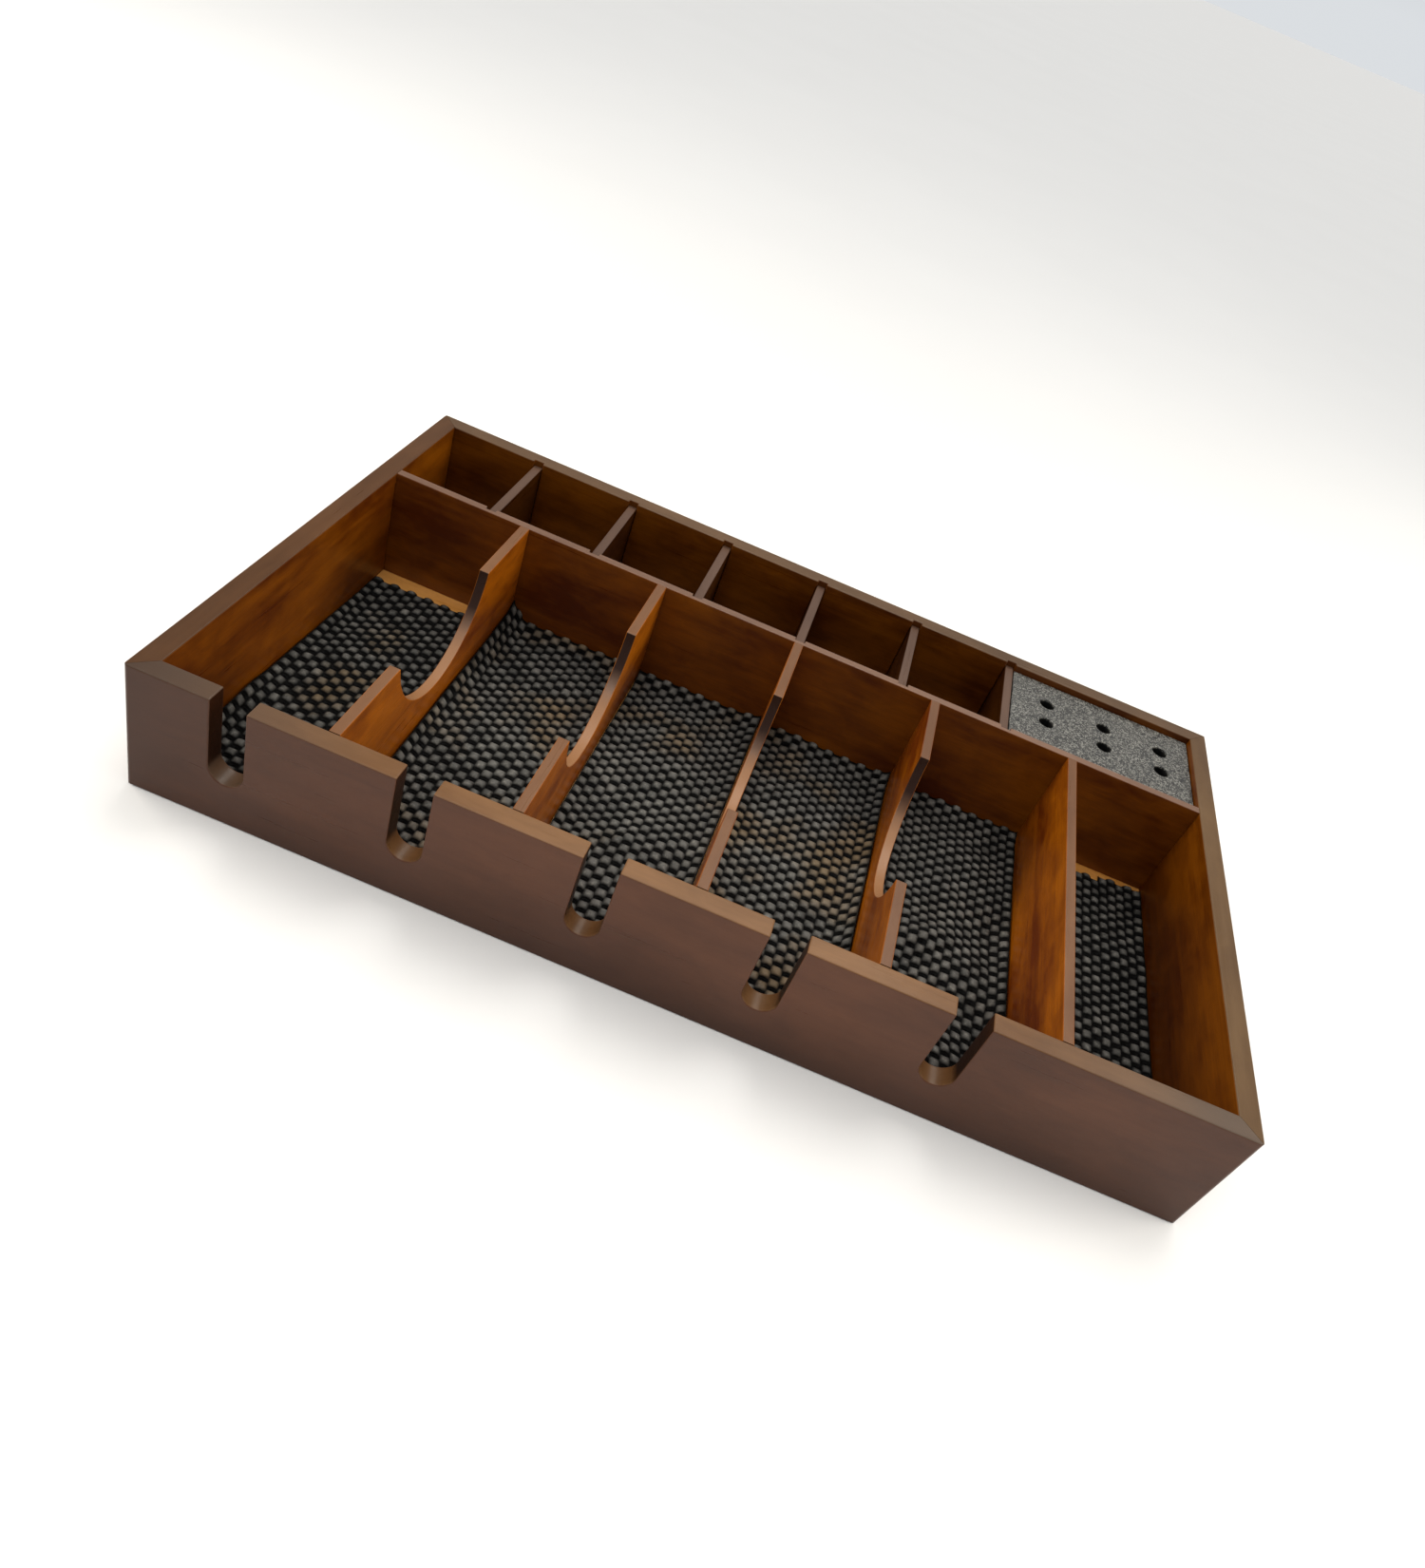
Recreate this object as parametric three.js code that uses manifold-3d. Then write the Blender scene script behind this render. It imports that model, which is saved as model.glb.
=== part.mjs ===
// Drawer organizer tray: a mitred wooden box with six long front compartments, six small rear bins, a
// perforated holder plate in the rear right corner and a loose non-slip liner in each front compartment.
// Millimetres, +Z up. The origin is the centre of the underside, +X runs along the front from left to
// right, and +Y points from the front wall to the back wall.
import * as THREE from 'three';
import { mergeVertices } from 'three/addons/utils/BufferGeometryUtils.js';
import Module from 'manifold-3d';

const wasm = await Module();
wasm.setup();

// Box
const WIDTH = 600;
const DEPTH = 365;
const HEIGHT = 80;
const WALL = 12.7;
const CORNER_RADIUS = 2.5;
const BASE = 4;
const BASE_LIP = 6.35;        // wall left outside the base panel's rebate
const GLUE_GAP = 0.2;         // across a mitre
const FIT = 0.15;             // each side of a glued housing or rebate

// Dividing boards
const BOARD = 6.35;
const CROSS_Y = 83.1;         // centre of the cross divider
const HOUSING = 3;            // depth of the stopped housings that hold board ends
const HOUSING_STOP = 8;       // a stopped housing ends this far below the top edge
const GROOVE = 3;             // depth of the open grooves that hold the rear dividers
const SLIP = 0.2;             // each side of a rear divider in its grooves
const FRONT_PITCH = 98;
const FRONT_DIVIDERS = 5;
const REAR_PITCH = 74;
const REAR_DIVIDERS = 6;
const REAR_DROP = 4.5;        // rear dividers and plate lie this far below the top edge

// Scoops in the front dividers and cord notches in the front wall
const SCOOPED_DIVIDERS = 4;
const SCOOP_RADIUS = 60;
const SCOOP_RISE = 11;        // centre of the scoop above the top edge
const SCOOP_Y = -45.8;
const NOTCHES = 5;
const NOTCH_RADIUS = 9.6;
const NOTCH_BOTTOM = 27.5;

// Holder plate
const PLATE = 6;
const PLATE_GAP = 0.6;        // all round the plate
const HOLE_RADIUS = 5.5;
const HOLE_COLUMNS = [178.5, 221.5, 264.5];
const HOLE_ROWS = [118.9, 142.7];
const CLEAT = 8;
const CLEAT_HEIGHT = 10;

// Liners
const LINER = 2.8;
const LINER_LIFT = 0.1;       // clear of the base panel
const LINER_SIDE_GAP = 0.6;
const TURN_UP_WIDTH = 14;     // a turned-up edge rises over this width
const LINER_STEPS = 10;

const INNER_X = WIDTH / 2 - WALL;
const INNER_Y = DEPTH / 2 - WALL;
const CROSS_FRONT = CROSS_Y - BOARD / 2;
const CROSS_REAR = CROSS_Y + BOARD / 2;
const REAR_TOP = HEIGHT - REAR_DROP;
const LAST_REAR_X = rearX(REAR_DIVIDERS);

const woodFinish = { roughness: 0.5, metalness: 0 };
const wallWood = () => new THREE.MeshStandardMaterial({ color: 0x5f4839, ...woodFinish });
const boardWood = () => new THREE.MeshStandardMaterial({ color: 0x6e3a12, ...woodFinish });
const baseWood = () => new THREE.MeshStandardMaterial({ color: 0x8a5a2a, ...woodFinish });
const plateStone = () => new THREE.MeshStandardMaterial({ color: 0x6b6a65, roughness: 0.6, metalness: 0 });
const linerFoam = () => new THREE.MeshStandardMaterial({ color: 0x1b1b1b, roughness: 0.45, metalness: 0 });

const group = new THREE.Group();

function add(name, geometry, material) {
  const mesh = new THREE.Mesh(geometry, material);
  mesh.name = name;
  group.add(mesh);
}

function frontX(number) {
  return FRONT_PITCH * (number - (FRONT_DIVIDERS + 1) / 2);
}

function rearX(number) {
  return REAR_PITCH * (number - 1 - REAR_DIVIDERS / 2);
}

function merged(geometry) {
  const bare = geometry.clone();
  bare.deleteAttribute('normal');
  bare.deleteAttribute('uv');
  return mergeVertices(bare, 1e-4);
}

function solid(geometry) {
  const closed = merged(geometry);
  const vertProperties = new Float32Array(closed.attributes.position.array);
  const triVerts = new Uint32Array(closed.index.array);
  return new wasm.Manifold(new wasm.Mesh({ numProp: 3, vertProperties, triVerts }));
}

function fromSolid(body) {
  const mesh = body.getMesh();
  const geometry = new THREE.BufferGeometry();
  geometry.setAttribute('position', new THREE.BufferAttribute(mesh.vertProperties, 3));
  geometry.setIndex(new THREE.BufferAttribute(mesh.triVerts, 1));
  geometry.computeVertexNormals();
  return geometry;
}

function cut(geometry, cutters) {
  return fromSolid(cutters.reduce((body, cutter) => body.subtract(solid(cutter)), solid(geometry)));
}

function block(x0, x1, y0, y1, z0, z1) {
  const geometry = new THREE.BoxGeometry(x1 - x0, y1 - y0, z1 - z0);
  return geometry.translate((x0 + x1) / 2, (y0 + y1) / 2, (z0 + z1) / 2);
}

function prism(shape, depth, curveSegments = 8) {
  return new THREE.ExtrudeGeometry(shape, { depth, bevelEnabled: false, curveSegments });
}

function polygon(points) {
  return new THREE.Shape(points.map(([x, y]) => new THREE.Vector2(x, y)));
}

// A mitred wall board lying along X with its outer face on Y = 0: the outer corners are rounded, and each
// mitre face is drawn in by half the glue gap.
function wallBoard(length) {
  const half = length / 2;
  const slip = GLUE_GAP / Math.SQRT2;
  const mitre = 1.75 * Math.PI - Math.acos(slip / (CORNER_RADIUS * Math.SQRT2));
  const shape = polygon([[half - WALL - slip, WALL], [slip + WALL - half, WALL]]);
  shape.absarc(CORNER_RADIUS - half, CORNER_RADIUS, CORNER_RADIUS, mitre, 1.5 * Math.PI, false);
  shape.absarc(half - CORNER_RADIUS, CORNER_RADIUS, CORNER_RADIUS, 1.5 * Math.PI, 3 * Math.PI - mitre, false);
  return prism(shape, HEIGHT, 6);
}

// The pocket that takes a board end between z = BASE and the given height.
function housing(x, y, halfX, halfY, top) {
  return block(x - halfX, x + halfX, y - halfY, y + halfY, BASE, top);
}

function notch(x) {
  const shape = polygon([[x + NOTCH_RADIUS, HEIGHT + 1], [x - NOTCH_RADIUS, HEIGHT + 1]]);
  shape.absarc(x, NOTCH_BOTTOM + NOTCH_RADIUS, NOTCH_RADIUS, Math.PI, 2 * Math.PI, false);
  return prism(shape, 3 * WALL, 12).rotateX(Math.PI / 2).translate(0, 2 * WALL - DEPTH / 2, 0);
}

function addWalls() {
  const lipX = WIDTH / 2 - BASE_LIP;
  const lipY = DEPTH / 2 - BASE_LIP;
  const rebate = block(-lipX, lipX, -lipY, lipY, -1, BASE + FIT);
  const stop = HEIGHT - HOUSING_STOP;

  const front = wallBoard(WIDTH).translate(0, -DEPTH / 2, 0);
  const frontCuts = [rebate];
  for (let i = 1; i <= FRONT_DIVIDERS; i += 1) {
    frontCuts.push(housing(frontX(i), -INNER_Y, BOARD / 2 + FIT, HOUSING, stop));
  }
  for (let i = 1; i <= NOTCHES; i += 1) {
    frontCuts.push(notch(frontX(i) - FRONT_PITCH / 2));
  }
  add('front_wall', cut(front, frontCuts), wallWood());

  const back = wallBoard(WIDTH).rotateZ(Math.PI).translate(0, DEPTH / 2, 0);
  const backCuts = [rebate];
  for (let i = 1; i <= REAR_DIVIDERS; i += 1) {
    backCuts.push(housing(rearX(i), INNER_Y, BOARD / 2 + SLIP, GROOVE, HEIGHT + 1));
  }
  add('back_wall', cut(back, backCuts), wallWood());

  for (const side of [-1, 1]) {
    const wall = wallBoard(DEPTH).rotateZ(side * Math.PI / 2).translate(side * WIDTH / 2, 0, 0);
    const end = housing(side * INNER_X, CROSS_Y, HOUSING, BOARD / 2 + FIT, stop);
    add(side < 0 ? 'left_wall' : 'right_wall', cut(wall, [rebate, end]), wallWood());
  }

  const baseX = lipX - FIT;
  const baseY = lipY - FIT;
  add('base_panel', block(-baseX, baseX, -baseY, baseY, 0, BASE), baseWood());
}

// The long board between front and rear: a short tongue at each end sits in a stopped housing, and its
// rear face has an open-topped groove for each rear divider.
function addCrossDivider() {
  const shoulder = INNER_X - FIT;
  const tip = INNER_X + HOUSING - FIT;
  const step = HEIGHT - HOUSING_STOP - FIT;
  const outline = polygon([
    [-tip, BASE], [tip, BASE], [tip, step], [shoulder, step],
    [shoulder, HEIGHT], [-shoulder, HEIGHT], [-shoulder, step], [-tip, step],
  ]);
  const board = prism(outline, BOARD).rotateX(Math.PI / 2).translate(0, CROSS_REAR, 0);
  const grooves = [];
  for (let i = 1; i <= REAR_DIVIDERS; i += 1) {
    grooves.push(block(rearX(i) - BOARD / 2 - SLIP, rearX(i) + BOARD / 2 + SLIP,
      CROSS_REAR - GROOVE, CROSS_REAR + 1, BASE - 1, HEIGHT + 1));
  }
  add('cross_divider', cut(board, grooves), boardWood());
}

// A front divider seen from its side, with Y across and Z up: a tongue into the front wall, and a round
// scoop out of the top edge.
function frontDividerOutline(scooped) {
  const front = FIT - INNER_Y;
  const tip = FIT - INNER_Y - HOUSING;
  const rear = CROSS_FRONT - FIT;
  const step = HEIGHT - HOUSING_STOP - FIT;
  const shape = polygon([[rear, HEIGHT], [rear, BASE], [tip, BASE], [tip, step], [front, step]]);
  shape.lineTo(front, HEIGHT);
  if (scooped) {
    const reach = Math.asin(SCOOP_RISE / SCOOP_RADIUS);
    shape.absarc(SCOOP_Y, HEIGHT + SCOOP_RISE, SCOOP_RADIUS, Math.PI + reach, 2 * Math.PI - reach, false);
  }
  return shape;
}

function addFrontDividers() {
  for (let i = 1; i <= FRONT_DIVIDERS; i += 1) {
    const outline = frontDividerOutline(i <= SCOOPED_DIVIDERS);
    const board = prism(outline, BOARD, 28).rotateX(Math.PI / 2).rotateZ(Math.PI / 2);
    add(`front_divider_${i}`, board.translate(frontX(i) - BOARD / 2, 0, 0), boardWood());
  }
}

function addRearDividers() {
  const front = CROSS_REAR - GROOVE + SLIP;
  const rear = INNER_Y + GROOVE - SLIP;
  for (let i = 1; i <= REAR_DIVIDERS; i += 1) {
    const x = rearX(i);
    add(`rear_divider_${i}`, block(x - BOARD / 2, x + BOARD / 2, front, rear, BASE, REAR_TOP), boardWood());
  }
}

// The loose plate in the rear right corner rests on two cleats, one glued to the cross divider and one to
// the back wall.
function addHolder() {
  const left = LAST_REAR_X + BOARD / 2 + PLATE_GAP;
  const right = INNER_X - PLATE_GAP;
  const front = CROSS_REAR + PLATE_GAP;
  const rear = INNER_Y - PLATE_GAP;
  const shape = polygon([[left, front], [right, front], [right, rear], [left, rear]]);
  for (const x of HOLE_COLUMNS) {
    for (const y of HOLE_ROWS) {
      const hole = new THREE.Path();
      hole.absarc(x, y, HOLE_RADIUS, 0, 2 * Math.PI, true);
      shape.holes.push(hole);
    }
  }
  add('holder_plate', prism(shape, PLATE, 16).translate(0, 0, REAR_TOP - PLATE), plateStone());

  const top = REAR_TOP - PLATE;
  const bottom = top - CLEAT_HEIGHT;
  add('plate_cleat_front', block(left, right, CROSS_REAR, CROSS_REAR + CLEAT, bottom, top), boardWood());
  add('plate_cleat_back', block(left, right, INNER_Y - CLEAT, INNER_Y, bottom, top), boardWood());
}

// Each liner is a thin sheet on the base panel. Its left and right edges turn up against the boards by
// the heights given at the front and at the rear, its rear edge by the height given, and it stops short
// of the cross divider by rearGap.
const LINER_EDGES = [
  { left: [11, 0], right: [0, 0], rear: 0, rearGap: 14 },
  { left: [5, 13], right: [0, 4], rear: 6, rearGap: 0.6 },
  { left: [3, 0], right: [4, 4], rear: 6, rearGap: 0.6 },
  { left: [4, 0], right: [13, 4], rear: 5, rearGap: 0.6 },
  { left: [0, 3], right: [11, 1], rear: 3, rearGap: 0.6 },
  { left: [0, 0], right: [3, 2], rear: 0, rearGap: 6 },
];

function turnUp(distance, height) {
  const inside = Math.max(0, 1 - distance / TURN_UP_WIDTH);
  return height * inside * inside;
}

// Spreads evenly spaced places out so that they crowd towards both edges.
function crowded(place, size) {
  return Math.sin((place / size) * Math.PI) * size / 2;
}

function linerSheet(number) {
  const edges = LINER_EDGES[number - 1];
  const x0 = number === 1 ? -INNER_X : frontX(number - 1) + BOARD / 2;
  const x1 = number === LINER_EDGES.length ? INNER_X : frontX(number) - BOARD / 2;
  const width = x1 - x0 - 2 * LINER_SIDE_GAP;
  const length = CROSS_FRONT + INNER_Y - LINER_SIDE_GAP - edges.rearGap;
  const sheet = new THREE.BoxGeometry(width, length, LINER, LINER_STEPS, LINER_STEPS, 1);
  const place = sheet.attributes.position;
  for (let i = 0; i < place.count; i += 1) {
    const x = crowded(place.getX(i), width);
    const y = crowded(place.getY(i), length);
    const t = y / length + 0.5;
    const rise = turnUp(width / 2 + x, THREE.MathUtils.lerp(...edges.left, t))
      + turnUp(width / 2 - x, THREE.MathUtils.lerp(...edges.right, t))
      + turnUp(length / 2 - y, edges.rear);
    place.setXYZ(i, x, y, place.getZ(i) + rise);
  }
  return sheet.translate((x0 + x1) / 2, LINER_SIDE_GAP - INNER_Y + length / 2, BASE + LINER_LIFT + LINER / 2);
}

function addLiners() {
  for (let i = 1; i <= LINER_EDGES.length; i += 1) {
    add(`liner_${i}`, linerSheet(i), linerFoam());
  }
}

addWalls();
addCrossDivider();
addFrontDividers();
addRearDividers();
addHolder();
addLiners();

export default group;
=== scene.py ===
"""Looks of the drawer organizer tray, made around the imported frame.

Lengths are in metres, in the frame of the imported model: the origin is the centre of the underside, +X runs
along the front from left to right, +Y from the notched front wall to the back wall, and +Z is up.
"""

import math

import bpy
import numpy as np
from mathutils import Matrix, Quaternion, Vector


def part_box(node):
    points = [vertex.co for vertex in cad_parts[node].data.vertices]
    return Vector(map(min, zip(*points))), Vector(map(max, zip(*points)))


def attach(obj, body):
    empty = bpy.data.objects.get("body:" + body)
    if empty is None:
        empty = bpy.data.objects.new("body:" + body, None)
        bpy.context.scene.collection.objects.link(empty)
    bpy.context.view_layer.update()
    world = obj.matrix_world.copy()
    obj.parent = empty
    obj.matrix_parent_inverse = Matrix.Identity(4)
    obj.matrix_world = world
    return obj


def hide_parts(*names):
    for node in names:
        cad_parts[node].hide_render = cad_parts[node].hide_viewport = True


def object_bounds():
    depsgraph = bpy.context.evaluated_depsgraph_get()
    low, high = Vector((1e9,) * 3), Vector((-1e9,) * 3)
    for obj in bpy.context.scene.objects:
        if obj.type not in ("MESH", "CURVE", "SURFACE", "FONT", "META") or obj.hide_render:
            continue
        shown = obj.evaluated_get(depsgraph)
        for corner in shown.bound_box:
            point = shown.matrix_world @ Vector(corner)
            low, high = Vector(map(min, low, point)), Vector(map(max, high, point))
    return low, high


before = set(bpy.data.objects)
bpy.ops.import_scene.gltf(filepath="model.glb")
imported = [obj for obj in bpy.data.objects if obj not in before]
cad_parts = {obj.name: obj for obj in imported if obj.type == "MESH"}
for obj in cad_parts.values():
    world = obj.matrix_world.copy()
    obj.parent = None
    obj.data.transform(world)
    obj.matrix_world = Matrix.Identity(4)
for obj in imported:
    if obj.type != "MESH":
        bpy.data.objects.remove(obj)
cad_low, cad_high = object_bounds()

MM = 0.001

# Camera
CAMERA_AT = Vector((-11.6, -579.7, 473.5)) * MM
CAMERA_AIM = Vector((-8.1, -3.5, 0)) * MM
CAMERA_ROLL = math.radians(23.14)
CAMERA_LENS = 26.46
CAMERA_SHIFT = (-0.0049, 0.0097)

# Stage
FLOOR_SIZE = 80
FLOOR_DROP = 0.2 * MM
FLOOR_COLOUR = (0.86, 0.86, 0.855)
SKY_COLOUR = (0.93, 0.965, 1.0)
SKY_FADE = (0.02, 0.24)   # sine of the elevations between which the sky gets darker
SKY_STRENGTH = (0.76, 0.34)
LIGHTS_AIM = Vector((0, 0, 0.05))

# Boards
WELD = 0.01 * MM
FLAT_ANGLE = math.radians(1)
SHARP_ANGLE = math.radians(35)
WALL_EASE = 0.9 * MM      # widths of the rounded edges
BOARD_EASE = 0.6 * MM
PLATE_EASE = 0.4 * MM
EASE_STEPS = 3
END_REACH = 4 * MM        # a board's housed end, whose edges stay sharp
MITRE_REACH = 0.6 * MM
WEIGHT = "bevel_weight_edge"
LEVEL = "level"           # how high a point of a mat lies in its thickness, from 0 to 1
SOFT_EDGE = 0.2 * MM      # half the width of the change between two finishes
TOP_BAND = (0.6 * MM, 0.3 * MM)   # depths under a top between which its own finish starts
FRONT_INNER = 0.5 * MM    # how far the finish of an inner or outer face goes into the front wall
WALL_INNER = 3.4 * MM     # how far the inner finish goes into the other walls: past their grooves
NOTCH_SHADE = (32 * MM, 38 * MM)   # heights between which a notch's sides turn dark, as painted shade
SCOOP_SHADE = (45 * MM, 58 * MM)   # heights between which a scoop's edge turns as dark as the board, as painted shade
SCOOP_HIGHLIGHT = (39 * MM, 49 * MM)     # heights between which the painted highlight on a scoop's lower edge ends
FOOT = (2 * MM, 50 * MM)  # heights between which the painted shade at the foot of the front wall fades
LEFT_DARK = 120 * MM      # how far the front wall is darker from its left end
ENDS_FALLOFF = (130 * MM, 20 * MM)     # distances from the ends between which the painted sheen on the front wall's top fades to grey

# Mats: foamed cells in columns from front to back, each column half a cell on from the last
CELL_WIDE = 6.3 * MM
CELL_LONG = 9.4 * MM
HOLE_WIDE = 5.2 * MM
HOLE_LONG = 3.6 * MM
BUMP_WIDE = 0.58          # reach of a bump from its middle, in cells
BUMP_LONG = 0.40
BUMP_SQUARE = 2.8         # how full a bump's sides are
NECK = 0.36               # height between two bumps, in mat thicknesses
CELL_STEPS_X = 4
CELL_STEPS_Y = 8
TURN_UP = 14 * MM         # width over which a mat's edge turns up
MAT_LIFT = 0.15 * MM
MAT_SEED = 40
SHUT = 0.05               # how open the film at the bottom of a hole is at the least, from 0 to 1
WIDE_OPEN = 1.1


def rgb(red, green, blue):
    """A colour given in display values from 0 to 255, as Blender's linear values."""
    def linear(value):
        value /= 255
        return value / 12.92 if value <= 0.04045 else ((value + 0.055) / 1.055) ** 2.4
    return (linear(red), linear(green), linear(blue), 1)


# ---------------------------------------------------------------------------------------------- camera

def add_camera():
    data = bpy.data.cameras.new("camera")
    data.lens = CAMERA_LENS
    data.shift_x, data.shift_y = CAMERA_SHIFT
    data.clip_start = 0.01
    camera = bpy.data.objects.new("camera", data)
    camera.location = CAMERA_AT
    level = (CAMERA_AIM - CAMERA_AT).to_track_quat("-Z", "Y")
    camera.rotation_mode = "QUATERNION"
    camera.rotation_quaternion = level @ Quaternion((0, 0, 1), CAMERA_ROLL)
    bpy.context.scene.collection.objects.link(camera)
    bpy.context.scene.camera = camera


# ------------------------------------------------------------------------------------------- materials

def add_node(tree, kind, inputs=None, **settings):
    """A new node. inputs gives its inputs, by name or number, as values or as sockets to link."""
    made = tree.nodes.new(kind)
    for key, value in settings.items():
        setattr(made, key, value)
    for key, value in (inputs or {}).items():
        if isinstance(value, bpy.types.NodeSocket):
            tree.links.new(value, made.inputs[key])
        else:
            made.inputs[key].default_value = value
    return made


class Finish:
    """One material, and short calls that add nodes to it."""

    def __init__(self, name):
        self.material = bpy.data.materials.new(name)
        self.material.use_nodes = True
        self.tree = self.material.node_tree
        self.tree.nodes.clear()

    def node(self, kind, inputs=None, **settings):
        return add_node(self.tree, kind, inputs, **settings)

    def math(self, operation, *values):
        return self.node("ShaderNodeMath", dict(enumerate(values)), operation=operation).outputs[0]

    def fit(self, value, low, high, to_low=0.0, to_high=1.0):
        """Takes the range from low to high onto another, and stops at its ends."""
        numbers = {0: value, 1: low, 2: high, 3: to_low, 4: to_high}
        return self.node("ShaderNodeMapRange", numbers).outputs[0]

    def mix(self, share, a, b, blend="MIX"):
        inputs = {0: share, 6: a, 7: b}
        return self.node("ShaderNodeMix", inputs, data_type="RGBA", blend_type=blend).outputs[2]

    def place(self):
        return self.node("ShaderNodeTexCoord").outputs["Object"]

    def split(self, vector):
        return self.node("ShaderNodeSeparateXYZ", {0: vector}).outputs

    def join(self, x, y, z):
        return self.node("ShaderNodeCombineXYZ", {0: x, 1: y, 2: z}).outputs[0]

    def scaled(self, vector, scale):
        return self.node("ShaderNodeMapping", {"Vector": vector, "Scale": scale}).outputs[0]

    def noise(self, vector, scale=1.0, detail=2.0, roughness=0.5, distortion=0.0):
        inputs = {"Vector": vector, "Scale": scale, "Detail": detail, "Roughness": roughness,
                  "Distortion": distortion}
        return self.node("ShaderNodeTexNoise", inputs).outputs[0]

    def bump(self, height, distance, strength):
        inputs = {"Height": height, "Distance": distance, "Strength": strength}
        return self.node("ShaderNodeBump", inputs).outputs[0]

    def finish(self, **inputs):
        """Ends the material in one Principled shader, whose inputs are given with _ for spaces."""
        named = {key.replace("_", " "): value for key, value in inputs.items()}
        shader = self.node("ShaderNodeBsdfPrincipled", named)
        self.node("ShaderNodeOutputMaterial", {"Surface": shader.outputs[0]})
        return self.material


def shaded(colour, share):
    return (*(part * share for part in colour[:3]), 1)


STAIN = (rgb(116, 50, 3), rgb(186, 104, 8))
# Painted shade on the steep upper edges of scoops, on the upper sides of notches and towards the foot of the
# front wall, which is also darker near its left end
PAINTED_SHADE = rgb(42, 19, 5)
# The duller grey that the painted sheen on the front wall's top fades to near its ends
SHEEN_FALLOFF_GREY = rgb(88, 79, 71)
# A painted highlight on the lower part of a scoop's edge
SCOOP_LIGHT = rgb(148, 106, 72)
PORE_COLOUR = (0.010, 0.004, 0.001, 1)
# The base's lighter stain, made lighter still to paint the light that falls on its bare strip
BASE_STAIN_AND_LIGHT = (rgb(205, 142, 66), rgb(232, 172, 96))


def stained_wood(name, along, shade=1.0, toned=None, crown=None, reach=None, stain=STAIN, sheen=0.5,
                 painted_light_to=SHEEN_FALLOFF_GREY):
    """Stained close-grained wood with its grain along X or Y. stain is its dark and its light colour, and
    shade below 1 makes them darker. toned and crown are the lacquer's colours on outer faces and on upper
    edges, greyed and lightened to paint the reflection and sheen of the light on them, and painted_light_to
    is the colour of painted light on some of those edges: a painted highlight, or the grey that their painted
    sheen fades to. reach gives, by position, the shares of toned, of crown, of PAINTED_SHADE, which is
    painted shade, and of painted_light_to. sheen is the specular level."""
    f = Finish(name)
    x, y, z = f.split(f.place())
    board = f.node("ShaderNodeObjectInfo").outputs["Random"]
    shift = f.math("MULTIPLY", board, 7.3)
    run, across = (x, y) if along == "X" else (y, x)
    grain = f.join(f.math("ADD", run, shift), f.math("ADD", across, shift), z)

    # Patterns from broad to fine: the first three and the pores are drawn out along the grain
    figure = f.noise(f.scaled(grain, (5, 30, 30)), detail=4, roughness=0.55, distortion=0.7)
    streak = f.noise(f.scaled(grain, (9, 230, 230)), detail=3, roughness=0.62)
    fibre = f.noise(f.scaled(grain, (40, 1700, 1700)), detail=2, roughness=0.5)
    pores = f.noise(f.scaled(grain, (260, 4200, 4200)), detail=1)
    blotch = f.noise(grain, scale=11, detail=4, distortion=0.4)
    mottle = f.noise(f.scaled(grain, (34, 75, 75)), detail=3, roughness=0.6, distortion=0.6)
    pore = f.fit(pores, 0.62, 0.74)

    tone = f.math("MULTIPLY", f.fit(figure, 0.28, 0.72), 0.65)
    tone = f.math("ADD", tone, f.math("MULTIPLY", f.fit(streak, 0.2, 0.8), 0.35))
    tone = f.math("ADD", tone, f.fit(blotch, 0.32, 0.68, -0.26, 0.26))
    tone = f.math("ADD", tone, f.fit(mottle, 0.3, 0.7, -0.22, 0.22))
    colour = f.mix(f.fit(tone, 0.1, 0.9), *(shaded(part, shade) for part in stain))
    marked = 1.0
    if reach:
        cloud = f.noise(grain, scale=5, detail=2)
        soft = f.math("ADD", f.math("MULTIPLY", tone, 0.55), f.fit(cloud, 0.3, 0.7, 0, 0.45))
        # Lacquer on the outer faces and tops, greyed and lightened as painted reflection and sheen, then
        # painted light on some edges and painted shade in dark places
        outside, above, painted_dark, painted_light = reach(f, x, y, z)
        if toned:
            colour = f.mix(outside, colour, f.mix(soft, *toned))
        colour = f.mix(above, colour, f.mix(soft, *crown))
        colour = f.mix(f.math("MULTIPLY", above, painted_light), colour, painted_light_to)
        colour = f.mix(painted_dark, colour, PAINTED_SHADE)
        marked = f.math("SUBTRACT", 1.0, f.math("MULTIPLY", f.math("MAXIMUM", outside, above), 0.8))
    fine = f.math("MULTIPLY", f.fit(fibre, 0.30, 0.75, 0.0, 0.3), marked)
    colour = f.mix(fine, colour, shaded(stain[0], 0.7), "MULTIPLY")
    colour = f.mix(f.math("MULTIPLY", f.math("MULTIPLY", pore, 0.3), marked), colour, PORE_COLOUR)

    gloss = f.math("ADD", f.fit(streak, 0.3, 0.7, 0.27, 0.37), f.math("MULTIPLY", pore, 0.15))
    relief = f.math("SUBTRACT", f.math("MULTIPLY", fibre, 0.4), pore)
    normal = f.bump(relief, 0.04 * MM, 0.4)
    return f.finish(Base_Color=colour, Roughness=gloss, Normal=normal, IOR=1.5, Specular_IOR_Level=sheen)


def near_top(f, z, top):
    """From 0 below a board's top to 1 on it."""
    return f.fit(z, top - TOP_BAND[0], top - TOP_BAND[1])


def below_top(f, z, top):
    """From 1 below a board's top to 0 on it."""
    return f.fit(z, top - TOP_BAND[0], top - TOP_BAND[1], 1, 0)


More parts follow.
